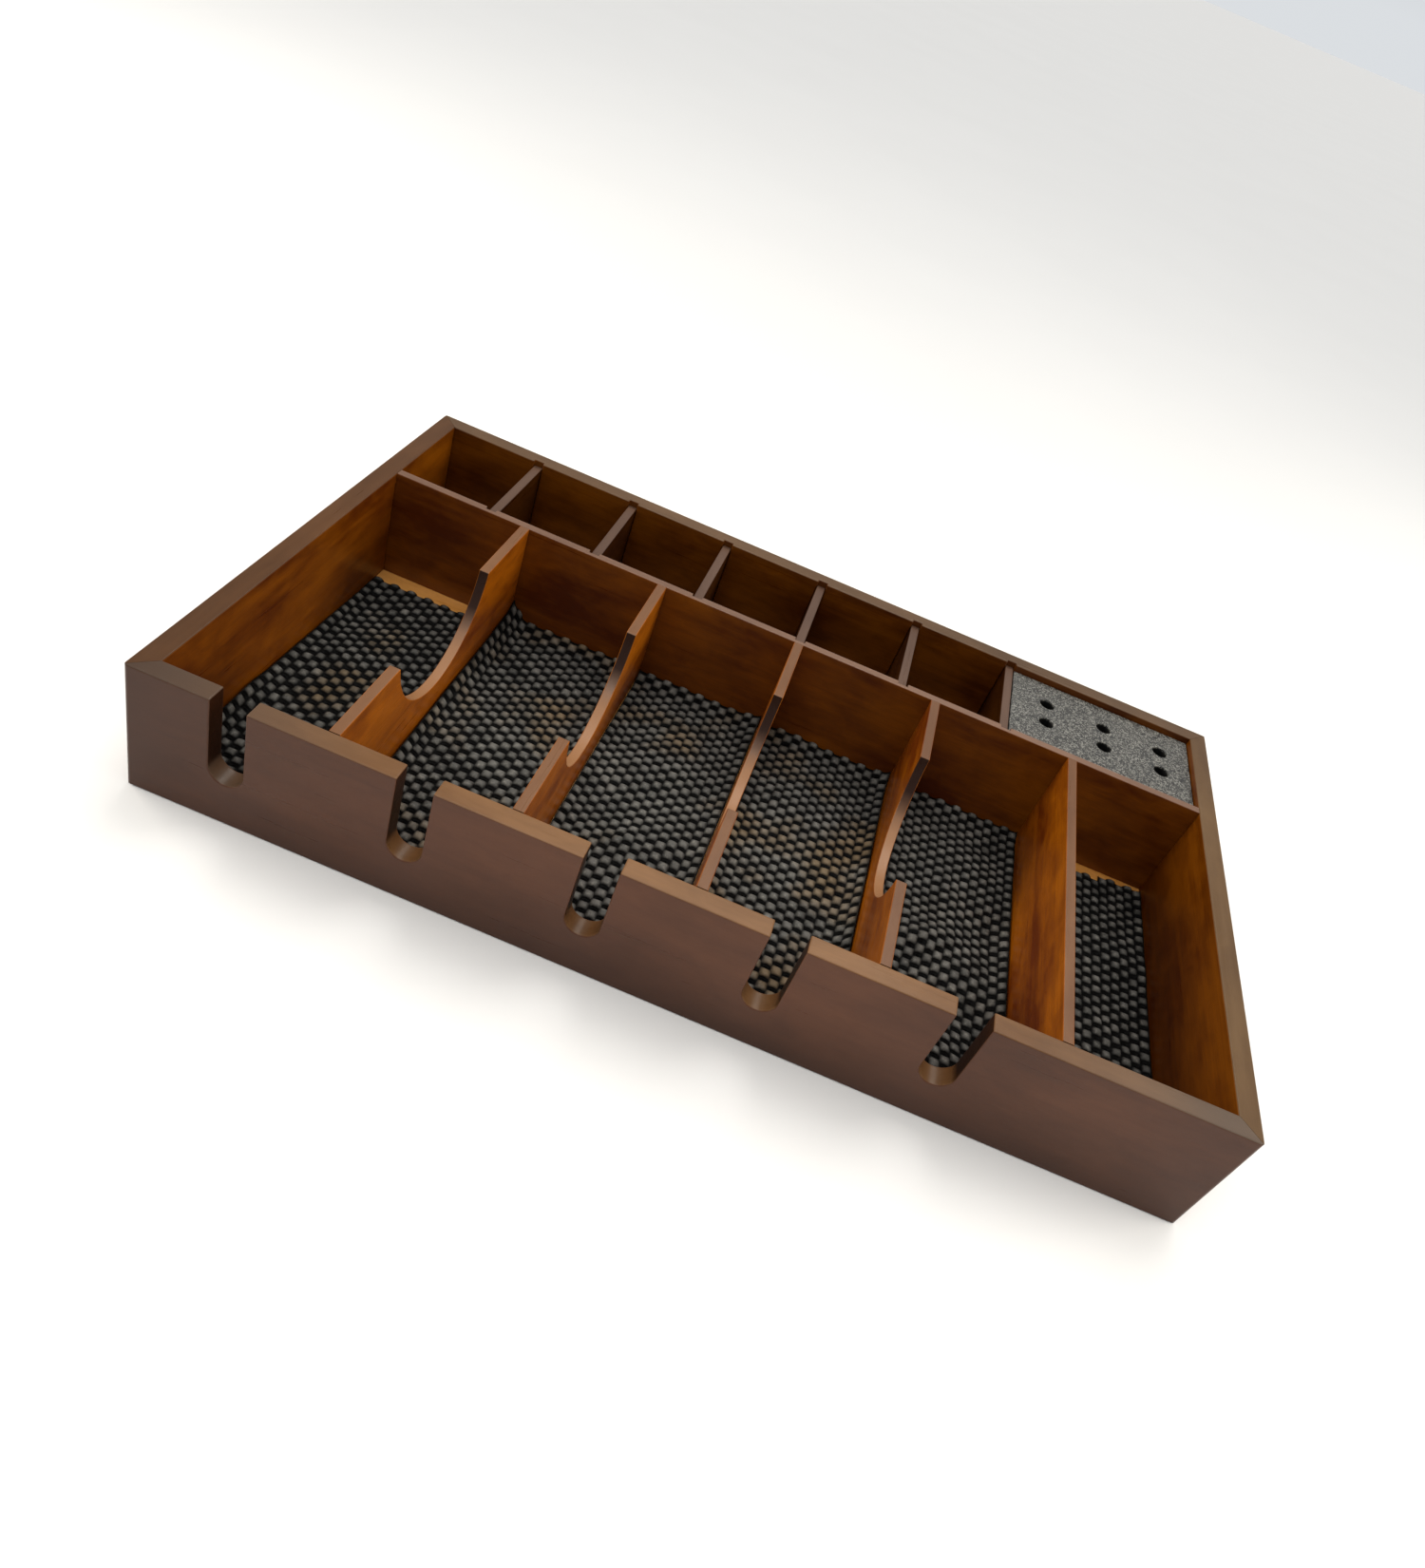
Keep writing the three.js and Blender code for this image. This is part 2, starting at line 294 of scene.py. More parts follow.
def reach_wall(axis, inner, depth, cuts=None):
    """Shares of a wall's outer faces, of its top, of the parts painted dark as shade and of those where the
    top's painted sheen fades to grey. Its inner face lies at inner along X or Y, and the inner finish ends at
    depth from it. Only the front wall has cuts through it: their faces up to that far from the inner face
    count as its top."""
    def reach(f, x, y, z):
        above = near_top(f, z, cad_high.z)
        away = f.math("ABSOLUTE", f.math("SUBTRACT", (x, y)[axis], inner))
        outside = f.fit(away, depth - SOFT_EDGE, depth + SOFT_EDGE)
        if cuts:
            cut = f.math("MULTIPLY", outside, f.fit(away, cuts - SOFT_EDGE, cuts + SOFT_EDGE, 1, 0))
            above = f.math("MAXIMUM", above, cut)
            # Painted shade on the upper sides of the notches and towards the foot of the outer face, which is
            # also darker near its left end
            steep = f.math("MULTIPLY", f.fit(z, *NOTCH_SHADE), below_top(f, z, cad_high.z))
            left_end = f.fit(x, cad_low.x, cad_low.x + LEFT_DARK, 0.62, 0)
            foot = f.math("MAXIMUM", left_end, f.fit(z, *FOOT, 0.6, 0))
            painted_dark = f.math("MAXIMUM", f.math("MULTIPLY", cut, steep), f.math("MULTIPLY", outside, foot))
            # Towards both ends the top's painted sheen fades to a duller grey
            painted_light = f.fit(f.math("ABSOLUTE", x), *(cad_high.x - far for far in ENDS_FALLOFF), 0, 0.75)
            return outside, above, painted_dark, painted_light
        return outside, above, 0.0, 0.0
    return reach


def reach_edge(axis, pitch, offset, thickness, top):
    """Shares, as in reach_wall, for boards that stand every pitch along X or Y: their edges lie near a
    board's middle plane, and their faces don't. The steep upper part of a scoop is painted dark as shade,
    and its lower part gets a painted highlight."""
    def reach(f, x, y, z):
        away = f.math("PINGPONG", f.math("SUBTRACT", (x, y)[axis], offset), pitch / 2)
        edge = thickness / 2 - BOARD_EASE / 2
        above = f.fit(away, edge - SOFT_EDGE, edge + SOFT_EDGE, 1, 0)
        steep = f.math("MULTIPLY", f.fit(z, *SCOOP_SHADE), below_top(f, z, top))
        return 0.0, above, f.math("MULTIPLY", above, steep), f.fit(z, *SCOOP_HIGHLIGHT, 1, 0)
    return reach


def speckled_stone():
    """Cast stone of dark and light chips, black below the plate's upper edge as painted shade inside its
    holes.
    """
    f = Finish("speckled_stone")
    place = f.place()
    stir = f.node("ShaderNodeTexNoise", {"Vector": place, "Scale": 800, "Detail": 2}).outputs["Color"]
    bent = f.node("ShaderNodeVectorMath", {0: place, 1: f.scaled(stir, (0.9 * MM,) * 3)}).outputs[0]
    chips = f.node("ShaderNodeTexVoronoi", {"Vector": bent, "Scale": 640}).outputs["Color"]
    flecks = f.node("ShaderNodeTexVoronoi", {"Vector": bent, "Scale": 1250}).outputs["Color"]
    chip = f.split(chips)[0]
    fleck = f.split(flecks)[1]
    body = f.mix(f.fit(chip, 0.05, 0.8), rgb(14, 14, 14), rgb(76, 75, 71))
    body = f.mix(f.fit(fleck, 0.70, 0.74, 0, 0.8), body, rgb(132, 131, 124))
    body = f.mix(f.fit(fleck, 0.24, 0.20, 0, 0.8), body, rgb(8, 8, 8))
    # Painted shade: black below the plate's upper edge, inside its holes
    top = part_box("holder_plate")[1].z
    body = f.mix(f.fit(f.split(place)[2], top - 1.6 * MM, top - 0.8 * MM, 1, 0), body, rgb(6, 6, 6))
    rough = f.fit(chip, 0, 1, 0.4, 0.55)
    return f.finish(Base_Color=body, Roughness=rough, Normal=f.bump(chip, 0.02 * MM, 0.5), IOR=1.5)


def liner_foam():
    """Black foamed plastic: dusty and lighter on the bumps, partly as a painted highlight, and black and dull
    down between them, with painted shade. The mats near the tray's left and right ends are darker.
    """
    f = Finish("liner_foam")
    place = f.place()
    level = f.node("ShaderNodeAttribute", attribute_name=LEVEL).outputs["Fac"]
    grain = f.noise(place, scale=2600, detail=3, roughness=0.6)
    broad = f.noise(place, scale=55, detail=2)
    dust = f.noise(place, scale=420, detail=4, roughness=0.65)
    # The black foam, darkened as painted shade down between the bumps, and dust on the bumps, lightened as a
    # painted highlight
    black_and_shade = f.mix(f.fit(broad, 0.3, 0.7), (0.0028, 0.0028, 0.0028, 1), (0.0045, 0.0045, 0.0043, 1))
    dust_and_highlight = f.mix(f.fit(broad, 0.3, 0.7), (0.096, 0.096, 0.089, 1), (0.160, 0.156, 0.142, 1))
    dust_and_highlight = f.mix(f.fit(dust, 0.5, 0.75, 0, 0.5), dust_and_highlight, (0.30, 0.29, 0.25, 1))
    spread = f.noise(place, scale=19, detail=2)
    across = f.split(place)[0]
    tanned = f.math("MULTIPLY", f.fit(spread, 0.52, 0.68, 0, 0.75), f.fit(across, 0.09, 0.12, 1, 0.1))
    dust_and_highlight = f.mix(tanned, dust_and_highlight, (0.20, 0.14, 0.075, 1))
    away = f.math("ABSOLUTE", across)
    level = f.math("ADD", level, f.fit(dust, 0.3, 0.7, -0.05, 0.05))
    level = f.math("SUBTRACT", level, f.fit(away, 0.12, 0.23, 0, 0.12))
    raised = f.fit(level, 0.45, 0.94)
    colour = f.mix(f.math("POWER", raised, 1.3), black_and_shade, dust_and_highlight)
    rough = f.math("ADD", f.fit(raised, 0, 1, 0.62, 0.38), f.fit(grain, 0.3, 0.7, -0.06, 0.06))
    return f.finish(Base_Color=colour, Roughness=rough, Normal=f.bump(grain, 0.05 * MM, 0.35), IOR=1.5,
                    Specular_IOR_Level=0.05)


# ---------------------------------------------------------------------------------------- CAD nodes

def geometry_group(name):
    """An empty node group that takes and gives one geometry."""
    tree = bpy.data.node_groups.new(name, "GeometryNodeTree")
    for in_out in ("INPUT", "OUTPUT"):
        tree.interface.new_socket("Geometry", in_out=in_out, socket_type="NodeSocketGeometry")
    return tree


def eased_edges(name, centre, half, axis):
    """Node group that gives the sharp edges of a board full bevel weight, apart from those at its ends.
    With axis 0 or 1 the ends are those along X or Y, with axis 2 there are none, and with axis None they
    are the mitres of the box."""
    tree = geometry_group(name)

    def calc(operation, *values):
        return add_node(tree, "ShaderNodeMath", dict(enumerate(values)), operation=operation).outputs[0]

    def at_end(position):
        parts = add_node(tree, "ShaderNodeSeparateXYZ", {0: position}).outputs
        if axis is None:
            x, y = calc("ABSOLUTE", parts[0]), calc("ABSOLUTE", parts[1])
            off = calc("SUBTRACT", calc("SUBTRACT", x, y), cad_high.x - cad_high.y)
            return calc("LESS_THAN", calc("ABSOLUTE", off), MITRE_REACH)
        if axis == 2:
            return 0.0
        away = calc("ABSOLUTE", calc("SUBTRACT", parts[axis], centre[axis]))
        return calc("GREATER_THAN", away, half[axis] - END_REACH)

    ends = add_node(tree, "GeometryNodeInputMeshEdgeVertices").outputs
    mixed = {0: 0.5, 4: ends[2], 5: ends[3]}
    middle = add_node(tree, "ShaderNodeMix", mixed, data_type="VECTOR").outputs[1]
    housed = at_end(middle)
    angle = add_node(tree, "GeometryNodeInputMeshEdgeAngle").outputs[0]
    sharp = calc("GREATER_THAN", angle, SHARP_ANGLE)
    weight = calc("MULTIPLY", sharp, calc("SUBTRACT", 1.0, housed))
    given = add_node(tree, "NodeGroupInput").outputs[0]
    inputs = {"Geometry": given, "Name": WEIGHT, "Value": weight}
    stored = add_node(tree, "GeometryNodeStoreNamedAttribute", inputs, data_type="FLOAT", domain="EDGE")
    add_node(tree, "NodeGroupOutput", {0: stored.outputs[0]})
    return tree


def smooth_by_angle():
    """Node group that shades a mesh smooth, apart from the edges that are still sharp."""
    tree = geometry_group("smooth_by_angle")
    shade = "GeometryNodeSetShadeSmooth"
    given = add_node(tree, "NodeGroupInput").outputs[0]
    smooth = add_node(tree, shade, {"Geometry": given, "Shade Smooth": True}).outputs[0]
    angle = add_node(tree, "GeometryNodeInputMeshEdgeAngle").outputs[0]
    soft = add_node(tree, "FunctionNodeCompare", {0: angle, 1: SHARP_ANGLE}, operation="LESS_THAN").outputs[0]
    edges = add_node(tree, shade, {"Geometry": smooth, "Shade Smooth": soft}, domain="EDGE").outputs[0]
    add_node(tree, "NodeGroupOutput", {0: edges})
    return tree


def ease(name, width, axis):
    """Gives a CAD node small rounded edges with modifiers. Its own mesh stays as it was packed."""
    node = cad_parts[name]
    low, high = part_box(name)
    weld = node.modifiers.new("weld", "WELD")
    weld.merge_threshold = WELD
    flat = node.modifiers.new("flat", "DECIMATE")
    flat.decimate_type = "DISSOLVE"
    flat.angle_limit = FLAT_ANGLE
    weights = node.modifiers.new("weights", "NODES")
    weights.node_group = eased_edges(f"eased_{name}", (low + high) / 2, (high - low) / 2, axis)
    bevel = node.modifiers.new("ease", "BEVEL")
    bevel.limit_method = "WEIGHT"
    bevel.width = width
    bevel.segments = EASE_STEPS
    bevel.use_clamp_overlap = False
    smooth = node.modifiers.new("smooth", "NODES")
    smooth.node_group = SMOOTH
    normals = node.modifiers.new("normals", "WEIGHTED_NORMAL")
    normals.keep_sharp = True


def paint(name, material):
    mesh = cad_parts[name].data
    mesh.materials.clear()
    mesh.materials.append(material)


# Each wall: its grain, the axis it faces along, the side its inner face lies on, how deep the inner finish
# goes, the brightness of its stain, darker on the back wall also as painted shade for the rear bins, and the
# lacquer's two colours on its top, lightened as painted sheen
WALLS = {
    "front_wall": ("X", 1, 1, FRONT_INNER, 0.60, (rgb(92, 62, 36), rgb(138, 100, 64))),
    "back_wall": ("X", 1, 0, WALL_INNER, 0.27, (rgb(76, 56, 37), rgb(110, 83, 58))),
    "left_wall": ("Y", 0, 1, WALL_INNER, 0.55, (rgb(66, 41, 20), rgb(96, 63, 34))),
    "right_wall": ("Y", 0, 0, WALL_INNER, 0.45, (rgb(77, 54, 32), rgb(110, 84, 54))),
}
# Lacquer on the outer faces, greyed to paint the reflection of the pale room
LACQUER_AND_REFLECTION = (rgb(72, 41, 25), rgb(104, 63, 40))
# Lacquer on the tops, lightened as painted sheen, less on the rear dividers
CROSS_TOP = (rgb(93, 66, 50), rgb(128, 95, 73))
BOARD_TOPS = {
    "front_divider": (rgb(92, 60, 38), rgb(126, 88, 58)),
    "rear_divider": (rgb(76, 54, 42), rgb(100, 76, 61)),
}
# The rear dividers' stain is made much darker: partly a darker stain, partly painted shade in the rear bins
ROW_SHADE = {"front_divider": 1.0, "rear_divider": 0.10}
CROSS_SHADE = 0.45


def finish_walls():
    for name, (along, axis, side, depth, shade, crown) in WALLS.items():
        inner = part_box(name)[side][axis]
        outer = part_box(name)[1 - side][axis]
        cuts = abs(outer - inner) - FRONT_INNER if name == "front_wall" else None
        reach = reach_wall(axis, inner, depth, cuts)
        paint(name, stained_wood(f"{name}_wood", along, shade, LACQUER_AND_REFLECTION, crown, reach, sheen=0.25))
        ease(name, WALL_EASE, None)


def finish_boards():
    cross_low, cross_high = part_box("cross_divider")
    thickness = cross_high.y - cross_low.y
    reach = reach_edge(1, 1, (cross_low.y + cross_high.y) / 2, thickness, cross_high.z)
    paint("cross_divider", stained_wood("cross_wood", "X", CROSS_SHADE, crown=CROSS_TOP, reach=reach))
    ease("cross_divider", BOARD_EASE, 0)
    for row, crown in BOARD_TOPS.items():
        names = sorted(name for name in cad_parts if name.startswith(row))
        centres = [sum(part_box(name), Vector()).x / 2 for name in names]
        reach = reach_edge(0, centres[1] - centres[0], centres[0], thickness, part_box(names[0])[1].z)
        wood = stained_wood(f"{row}_wood", "Y", ROW_SHADE[row], crown=crown, reach=reach, sheen=0.3,
                            painted_light_to=SCOOP_LIGHT if row == "front_divider" else crown[1])
        for name in names:
            paint(name, wood)
            ease(name, BOARD_EASE, 1)
    cleat = stained_wood("cleat_wood", "X")
    for name in ("plate_cleat_front", "plate_cleat_back"):
        paint(name, cleat)
        ease(name, BOARD_EASE, 0)
    paint("base_panel", stained_wood("base_wood", "X", stain=BASE_STAIN_AND_LIGHT))
    paint("holder_plate", speckled_stone())
    ease("holder_plate", PLATE_EASE, 2)


# --------------------------------------------------------------------------------------------- mats

def turn_up_heights(name):
    """How far the CAD mat turns up: its left and right edges at the front and at the rear, and its rear
    edge. Also the thickness of the mat and the height of its flat underside."""
    points = np.array([v.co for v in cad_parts[name].data.vertices])
    low, high = points.min(0), points.max(0)

    def top_at(x, y):
        near = np.hypot(points[:, 0] - x, points[:, 1] - y) < MM / 10
        return points[near, 2].max()

    middle = (low[0] + high[0]) / 2
    corner_low = points[np.hypot(points[:, 0] - middle, points[:, 1] - low[1]) < MM / 10, 2]
    flat_top, flat_low = corner_low.max(), corner_low.min()
    rear = top_at(middle, high[1]) - flat_top
    left = (top_at(low[0], low[1]) - flat_top, top_at(low[0], high[1]) - flat_top - rear)
    right = (top_at(high[0], low[1]) - flat_top, top_at(high[0], high[1]) - flat_top - rear)
    return left, right, rear, flat_top - flat_low, flat_low


def waves(rng, count, shortest, longest):
    """A smooth function of x and y from about -1 to 1, made of a few plane waves of random lengths."""
    turn = rng.uniform(0, 2 * math.pi, count)
    number = 2 * math.pi / rng.uniform(shortest, longest, count)
    start = rng.uniform(0, 2 * math.pi, count)

    def height(x, y):
        total = 0
        for k in range(count):
            total = total + np.sin(number[k] * (x * np.cos(turn[k]) + y * np.sin(turn[k])) + start[k])
        return total / count ** 0.5 / 1.4
    return height


# The rings of one cell, from its upper rim over the lip, down into the hole and out to its lower rim: how far
# each ring lies from the hole's outline towards the rim, and its level from 1, on top, to 0, underneath
RINGS = [(1.0, 1.0), (0.62, 1.0), (0.3, 1.0), (0.08, 0.93), (-0.03, 0.55), (-0.2, 0.22), (-0.75, 0.06),
         (0.2, 0.0), (1.0, 0.0)]
IN_HOLE = (6,)            # the rings whose reach into the hole differs from cell to cell


def cell_rim():
    """Points round one cell, in cells from its hole's centre, starting at the front right corner."""
    across = np.linspace(-0.5, 0.5, CELL_STEPS_X + 1)
    along = np.linspace(-0.5, 0.5, CELL_STEPS_Y + 1)
    right = [(0.5, y) for y in along[:-1]]
    rear = [(x, 0.5) for x in across[:0:-1]]
    left = [(-0.5, y) for y in along[:0:-1]]
    front = [(x, -0.5) for x in across[:-1]]
    return np.array(right + rear + left + front)


def cell_mesh(part):
    """One cell of foam round its hole, or the front or rear half of one that is cut through its hole. Gives
    the points as (x, y, level, ring), the quads, and the polygons that close the cut."""
    rim = cell_rim()
    half = CELL_STEPS_Y // 2
    if part == "rear":
        rim = np.roll(rim, -half, axis=0)[:CELL_STEPS_X + 2 * half + 1]
    elif part == "front":
        rim = np.roll(rim, half + CELL_STEPS_X, axis=0)[:CELL_STEPS_X + 2 * half + 1]
    turn = np.arctan2(rim[:, 1], rim[:, 0])
    hole = np.c_[np.cos(turn) * HOLE_WIDE / CELL_WIDE, np.sin(turn) * HOLE_LONG / CELL_LONG] / 2
    count = len(rim)
    points = [np.c_[hole + (rim - hole) * share, np.full(count, level), np.full(count, k)]
              for k, (share, level) in enumerate(RINGS)]
    quads = []
    for k in range(len(RINGS) - 1):
        for i in range(count if part == "whole" else count - 1):
            j = (i + 1) % count
            quads.append((k * count + j, (k + 1) * count + j, (k + 1) * count + i, k * count + i))
    caps = []
    if part != "whole":
        caps = [[k * count for k in range(len(RINGS))],
                [k * count + count - 1 for k in reversed(range(len(RINGS)))]]
    return np.concatenate(points), np.array(quads), np.array(caps, int).reshape(-1, len(RINGS))


def bump_share(x, y):
    """From 0 between the bumps to 1 on the middle of one. x and y are in cells from a hole's centre, so
    bumps lie half a cell before and after it, and beside it in the next columns."""
    total = 0
    for middle_x, middle_y in ((0, -0.5), (0, 0.5), (-1, 0), (1, 0), (-1, -1), (-1, 1), (1, -1), (1, 1)):
        wide = np.clip(1 - (np.abs(x - middle_x) / BUMP_WIDE) ** BUMP_SQUARE, 0, 1)
        long = np.clip(1 - (np.abs(y - middle_y) / BUMP_LONG) ** BUMP_SQUARE, 0, 1)
        total = total + (wide * long) ** 3
    return np.clip(total, 0, 1) ** (1 / 3)


def mat_cells(columns, ends):
    """The cells of a mat as (part, column, row of the hole's centre). ends gives each column's length in half
    cells. Odd columns begin and end half a cell off from even ones. Where a mat's front or rear edge cuts a
    cell in half, part says which half is left."""
    for column in range(columns):
        start = -(column % 2)
        while start < ends[column]:
            if start < 0:
                part = "rear"
            elif start + 2 > ends[column]:
                part = "front"
            else:
                part = "whole"
            yield part, column, (start + 1) / 2
            start += 2


def flat_mat(columns, ends, rng):
    """Points of a flat mat as (column, row, height), and its faces. Places are counted in cells from the
    front left corner, and the height goes from 0 to about 1."""
    thin = waves(rng, 6, 4, 14)
    shapes = {part: cell_mesh(part) for part in ("whole", "rear", "front")}
    points, quads, caps, marks = [], [], [], []
    total = 0
    for part, column, row in mat_cells(columns, ends):
        cell, cell_quads, cell_caps = shapes[part]
        share = bump_share(cell[:, 0], cell[:, 1])
        open_share = np.clip(0.1 + 0.9 * thin(column, row) + rng.uniform(-0.15, 0.15), SHUT, WIDE_OPEN)
        if part != "whole" or row > ends[column] / 2 - 1:   # no wood shows through the last row
            open_share = SHUT
        web = np.where(np.isin(cell[:, 3], IN_HOLE), open_share, 1.0)
        x, y = cell[:, 0] * web + column + 0.5, cell[:, 1] * web + row
        points.append(np.c_[x, y, cell[:, 2], share])
        quads.append(cell_quads + total)
        caps.append(cell_caps + total)
        inner = np.arange(total, total + len(cell)) + 1
        on_rim = np.isin(cell[:, 3], (0, len(RINGS) - 1))
        marks.append(np.c_[np.round(x * CELL_STEPS_X), np.round(y * CELL_STEPS_Y), cell[:, 3],
                           np.where(on_rim, 0, inner)])
        total += len(cell)
    points, marks = np.concatenate(points), np.concatenate(marks).astype(np.int64)
    _, first, same = np.unique(marks, axis=0, return_index=True, return_inverse=True)
    same = same.reshape(-1)
    points, marks = points[first], marks[first]
    quads, caps = same[np.concatenate(quads)], same[np.concatenate(caps)]
    plump = 1 + 0.09 * waves(rng, 9, 1.3, 4)(points[:, 0], points[:, 1])
    top = (NECK + (0.96 - NECK) * points[:, 3]) * plump
    low = 0.16 * (1 - points[:, 3])
    height = low + (top - low) * points[:, 2]
    faces = quads.tolist() + caps.tolist() + rim_quads(quads, caps, marks)
    return np.c_[points[:, :2], height], faces


def rim_quads(quads, caps, marks):
    """The quads that join the upper and the lower edge all round a mat."""
    ahead = np.concatenate([quads.reshape(-1), caps.reshape(-1)])
    after = np.concatenate([np.roll(quads, -1, axis=1).reshape(-1), np.roll(caps, -1, axis=1).reshape(-1)])
    step = len(marks) + 1
    is_open = ~np.isin(ahead * step + after, after * step + ahead)
    under = {(x, y): i for i, (x, y, ring, inner) in enumerate(marks.tolist()) if ring and not inner}
    upper = (marks[:, 2] == 0)
    joined = []
    for i, j in zip(ahead[is_open].tolist(), after[is_open].tolist()):
        if upper[i] and upper[j]:
            joined.append([j, i, under[tuple(marks[i, :2])], under[tuple(marks[j, :2])]])
    return joined


def arc_places(heights, span, steps=400):
    """A function from a share of the way along a curved strip to the share of its span below it, and the
    strip's length. heights(t) is the strip's height where t goes from 0 to 1 across the span."""
    t = np.linspace(0, 1, steps + 1)
    length = np.concatenate([[0], np.cumsum(np.hypot(np.diff(t) * span, np.diff(heights(t))))])
    return (lambda share: np.interp(share, length / length[-1], t)), length[-1]


def upward(rise, x, y, tiny=0.2 * MM):
    """The unit normals at x and y of the surface whose height is rise(x, y)."""
    slope_x = (rise(x + tiny, y) - rise(x - tiny, y)) / (2 * tiny)
    slope_y = (rise(x, y + tiny) - rise(x, y - tiny)) / (2 * tiny)
    normal = np.c_[-slope_x, -slope_y, np.ones_like(x)]
    return normal / np.linalg.norm(normal, axis=1)[:, None]


# How far a mat's rows wander, against the others
DRIFT = {1: 1.6, 5: 2.0}
# Soft folds, in mm from a mat's front left corner: where each crest starts and ends, and how high it is
FOLDS = {
    3: [((10, 170), (80, 205), 1.6)],
    5: [((6, 96), (66, 130), 3.4), ((32, 208), (60, 108), 2.8)],
}
FOLD_WIDE = 9 * MM
# How many half cells are missing at the rear of a mat's columns, from its left side to its right
SLANTED_CUTS = {6: (1.4, 0)}
# Shares of a mat's length at which its width is measured along its surface
STATIONS = (0.0, 0.25, 0.5, 0.75, 1.0)
# Shortest and longest waves, and mm of height or of shift along X and Y
RIPPLE = (28 * MM, 75 * MM)
BEND_X, BEND_Y = (70 * MM, 170 * MM, 0.8), (60 * MM, 150 * MM, 1.8)
PULL_X, PULL_Y = (11 * MM, 26 * MM, 0.28), (11 * MM, 26 * MM, 0.4)


def mat_rise(number, low, high, turned, ripple):
    """A function of x and y: how high the underside of a mat lies above its flat place. It turns up at the
    sides and the rear, as its CAD sheet does, and it swells in ripples and folds."""
    left, right, rear = turned

    def rise(x, y):
        t = np.clip((y - low.y) / (high.y - low.y), 0, 1)
        up = 0
        for distance, height in ((x - low.x, left[0] + (left[1] - left[0]) * t),
                                 (high.x - x, right[0] + (right[1] - right[0]) * t),
                                 (high.y - y, rear)):
            up = up + height * np.clip(1 - distance / TURN_UP, 0, 1) ** 2
        swell = np.clip(ripple(x, y) - 0.1, 0, None) * (0.5 + 0.9 * t) * MM
        for (from_x, from_y), (to_x, to_y), crest in FOLDS.get(number, []):
            run = np.array([to_x - from_x, to_y - from_y]) * MM
            at_x, at_y = x - low.x - from_x * MM, y - low.y - from_y * MM
            length = np.hypot(*run)
            far = (at_x * run[1] - at_y * run[0]) / length
            share = np.clip((at_x * run[0] + at_y * run[1]) / length ** 2, 0, 1)
            swell = swell + crest * MM * np.exp(-(far / FOLD_WIDE) ** 2) * np.sin(share * math.pi) ** 2
        return up + swell
    return rise


def width_places(u, t, across):
    """The shares of a mat's span that shares u of its width along the surface come to, where t is the
    share of its length. across holds what arc_places gives at each of STATIONS."""
    s = np.zeros_like(u)
    weight_sum = np.zeros_like(u)
    for station, (place, _) in zip(STATIONS, across):
        weight = np.clip(1 - np.abs(t - station) * (len(STATIONS) - 1), 0, 1)
        s += place(u) * weight
        weight_sum += weight
    return s / weight_sum


def add_mat(number, material):
    """One mat in place of its CAD sheet: as many cells as its size along the surface holds, bent to the
    sheet's profile, with rows that wander a little."""
    name = f"liner_{number}"
    *turned, thick, floor = turn_up_heights(name)
    low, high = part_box(name)
    wide, long = high.x - low.x, high.y - low.y
    rng = np.random.default_rng(MAT_SEED + number)
    ripple = waves(rng, 7, *RIPPLE)
    bend_x, bend_y = waves(rng, 5, *BEND_X[:2]), waves(rng, 5, *BEND_Y[:2])
    pull_x, pull_y = waves(rng, 9, *PULL_X[:2]), waves(rng, 9, *PULL_Y[:2])
    rise = mat_rise(number, low, high, turned, ripple)

    middle = (low.x + high.x) / 2
    across = [arc_places(lambda s, t=t: rise(low.x + s * wide, low.y + t * long), wide) for t in STATIONS]
    along, cut_long = arc_places(lambda s: rise(middle, low.y + s * long), long)
    cut_wide = sum(length for _, length in across) / len(across)
    columns = round(cut_wide / CELL_WIDE)
    halves = round(2 * cut_long / CELL_LONG)
    cut = np.linspace(*SLANTED_CUTS.get(number, (0, 0)), columns)
    points, faces = flat_mat(columns, np.round(halves - cut).astype(int), rng)
    u, v, level = points[:, 0] / columns, points[:, 1] * 2 / halves, points[:, 2]

    t = along(v)
    flat_x, flat_y = width_places(u, t, across) * wide, t * long
    inside = np.clip(np.minimum(u, 1 - u) * 6, 0, 1) * np.clip(np.minimum(v, 1 - v) * 8, 0, 1)
    drift = DRIFT.get(number, 1)
    shift_x = bend_x(flat_x, flat_y) * BEND_X[2] * drift + pull_x(flat_x, flat_y) * PULL_X[2]
    shift_y = bend_y(flat_x, flat_y) * BEND_Y[2] * drift + pull_y(flat_x, flat_y) * PULL_Y[2]
    x = low.x + flat_x + shift_x * inside * MM
    y = low.y + flat_y + shift_y * inside * MM
    under = np.c_[x, y, floor + MAT_LIFT + rise(x, y)]
    places = under + upward(rise, x, y) * (level * thick)[:, None]
    places[:, 0] = np.clip(places[:, 0], low.x, high.x)
    places[:, 1] = np.clip(places[:, 1], low.y, high.y)

    mesh = bpy.data.meshes.new(f"mat_{number}")
    mesh.from_pydata(places.tolist(), [], faces)
    mesh.materials.append(material)
    mesh.shade_smooth()
    mesh.attributes.new(LEVEL, "FLOAT", "POINT").data.foreach_set("value", level.astype(np.float32))
    mat = bpy.data.objects.new(f"mat_{number}", mesh)
    bpy.context.scene.collection.objects.link(mat)
    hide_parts(name)
    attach(mat, name)


# -------------------------------------------------------------------------------------------- stage

def add_floor():
    """A pale floor, large enough that its far edge lies at the horizon."""
    half = FLOOR_SIZE / 2
    corners = [(-half, -half, 0), (half, -half, 0), (half, half, 0), (-half, half, 0)]
    mesh = bpy.data.meshes.new("floor")
    mesh.from_pydata(corners, [], [(0, 1, 2, 3)])
    f = Finish("pale_floor")
    faint = f.noise(f.place(), scale=3, detail=3)
    colour = f.mix(f.fit(faint, 0.3, 0.7), (*FLOOR_COLOUR, 1), (*(c * 0.985 for c in FLOOR_COLOUR), 1))
    mesh.materials.append(f.finish(Base_Color=colour, Roughness=0.75))
    floor = bpy.data.objects.new("floor", mesh)
    floor.location.z = -FLOOR_DROP
    bpy.context.scene.collection.objects.link(floor)


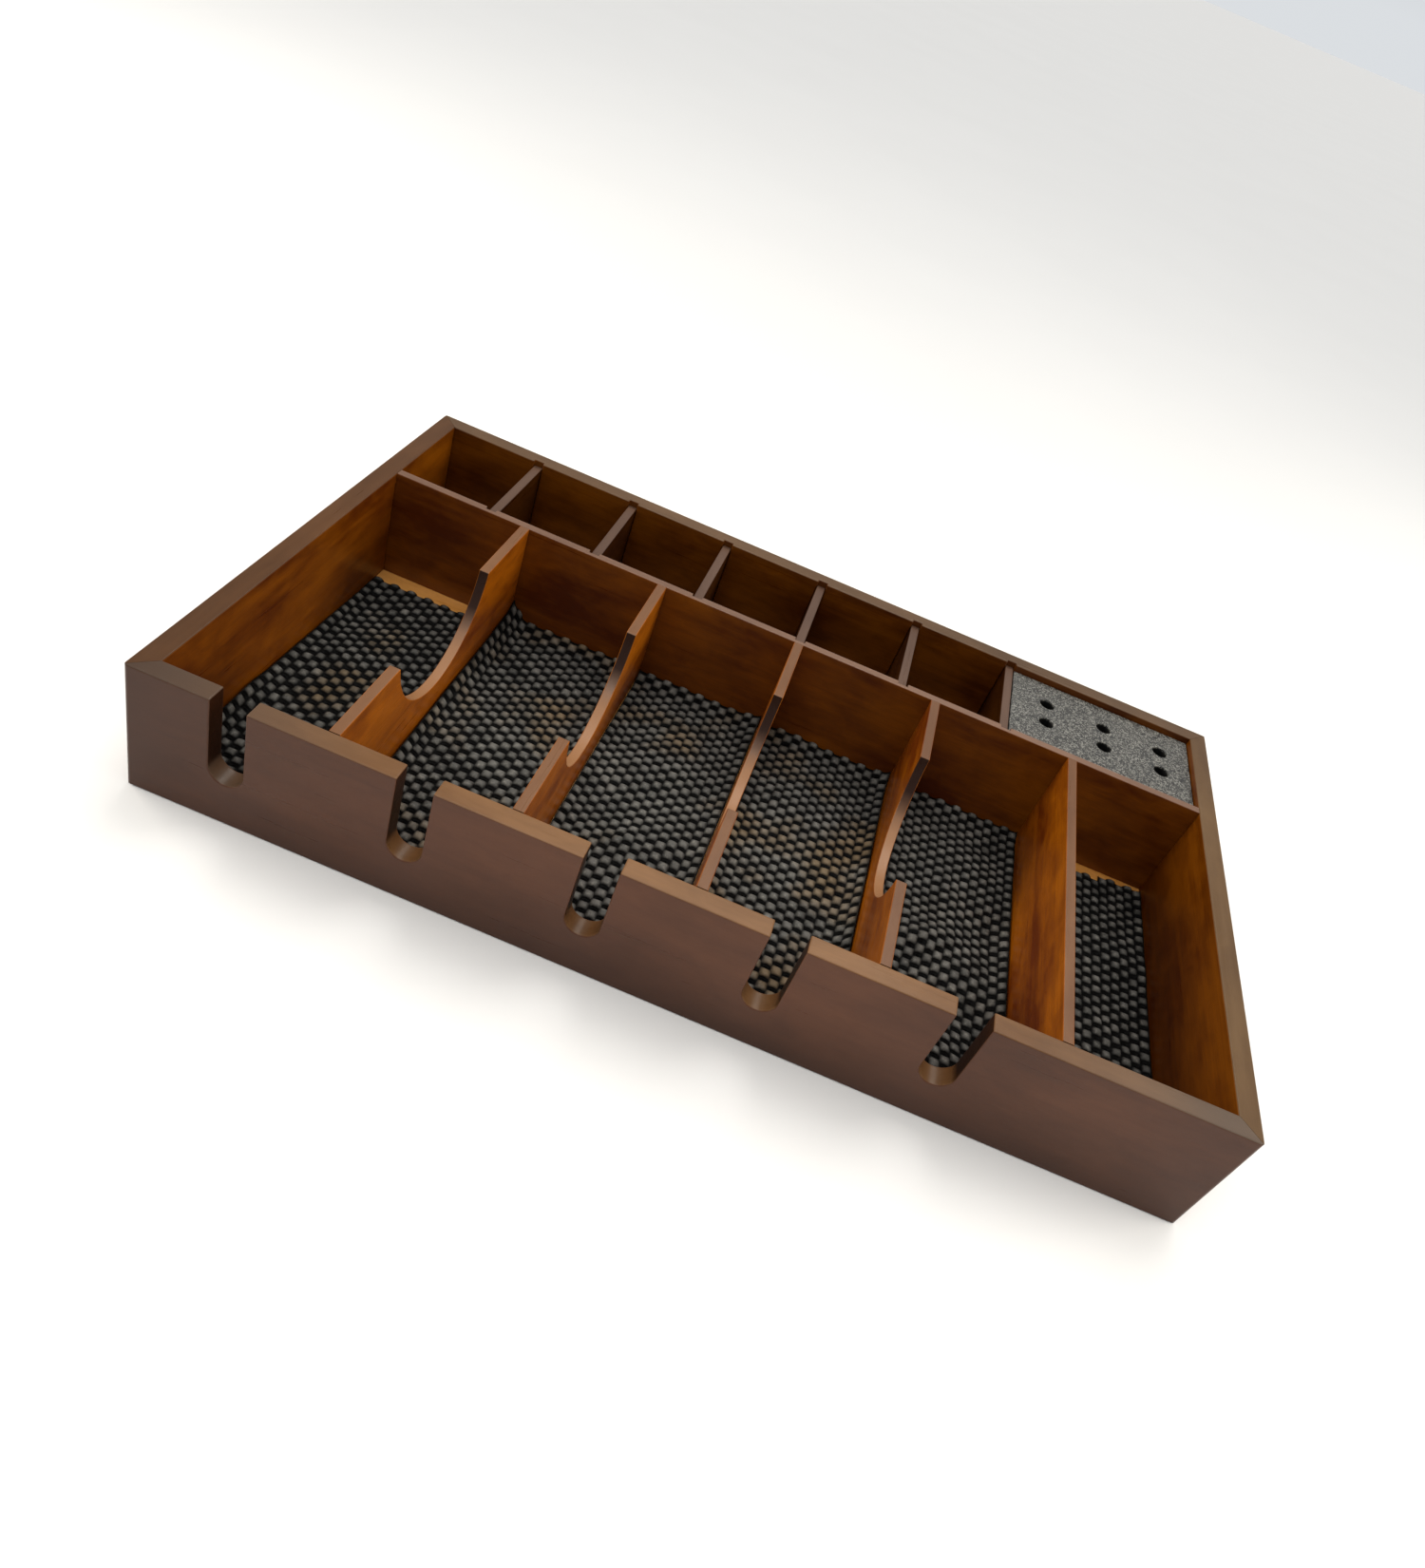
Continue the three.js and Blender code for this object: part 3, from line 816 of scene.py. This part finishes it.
def add_light(name, data, power, colour, turn):
    data.energy = power
    data.color = colour
    light = bpy.data.objects.new(name, data)
    light.rotation_euler = turn.to_euler()
    bpy.context.scene.collection.objects.link(light)
    return light


def add_area(name, at, size, power, colour):
    """A rectangular lamp, aimed at the tray."""
    data = bpy.data.lights.new(name, "AREA")
    data.shape = "RECTANGLE"
    data.size, data.size_y = size
    turn = (LIGHTS_AIM - Vector(at)).to_track_quat("-Z", "Y")
    add_light(name, data, power, colour, turn).location = at


def add_sun(name, towards, angle, strength, colour):
    data = bpy.data.lights.new(name, "SUN")
    data.angle = math.radians(angle)
    add_light(name, data, strength, colour, Vector(towards).to_track_quat("Z", "Y"))


def add_sky():
    """Even light, brighter at the horizon, where it meets the pale floor."""
    world = bpy.data.worlds.new("studio")
    world.use_nodes = True
    tree = world.node_tree
    place = add_node(tree, "ShaderNodeTexCoord").outputs["Generated"]
    height = add_node(tree, "ShaderNodeSeparateXYZ", {0: place}).outputs["Z"]
    numbers = dict(enumerate((height, *SKY_FADE, *SKY_STRENGTH)))
    strength = add_node(tree, "ShaderNodeMapRange", numbers).outputs[0]
    background = tree.nodes["Background"]
    background.inputs["Color"].default_value = (*SKY_COLOUR, 1)
    tree.links.new(strength, background.inputs["Strength"])
    bpy.context.scene.world = world


def add_stage():
    """Two broad suns and three lamps. A sun is given by where it stands, its width in degrees, its power
    and its colour, and a lamp by its place, size, power and colour."""
    add_floor()
    add_sky()
    add_sun("behind", (0.1, 0.5, 0.86), 35, 1.0, (1, 0.96, 0.90))
    add_sun("overhead", (0, -0.1, 1), 60, 0.9, (1, 0.98, 0.95))
    add_area("front", (-0.25, -0.85, 1.25), (0.5, 0.4), 3.8, (1, 0.97, 0.92))
    add_area("left", (-1.5, 0.1, 0.75), (1.0, 0.8), 15, (1, 0.93, 0.82))
    add_area("right", (1.5, 0.1, 0.75), (1.0, 0.8), 15, (1, 0.93, 0.82))
    bpy.context.scene.view_settings.view_transform = "Standard"


add_camera()
SMOOTH = smooth_by_angle()
finish_walls()
finish_boards()
foam = liner_foam()
for mat_number in range(1, 7):
    add_mat(mat_number, foam)
add_stage()
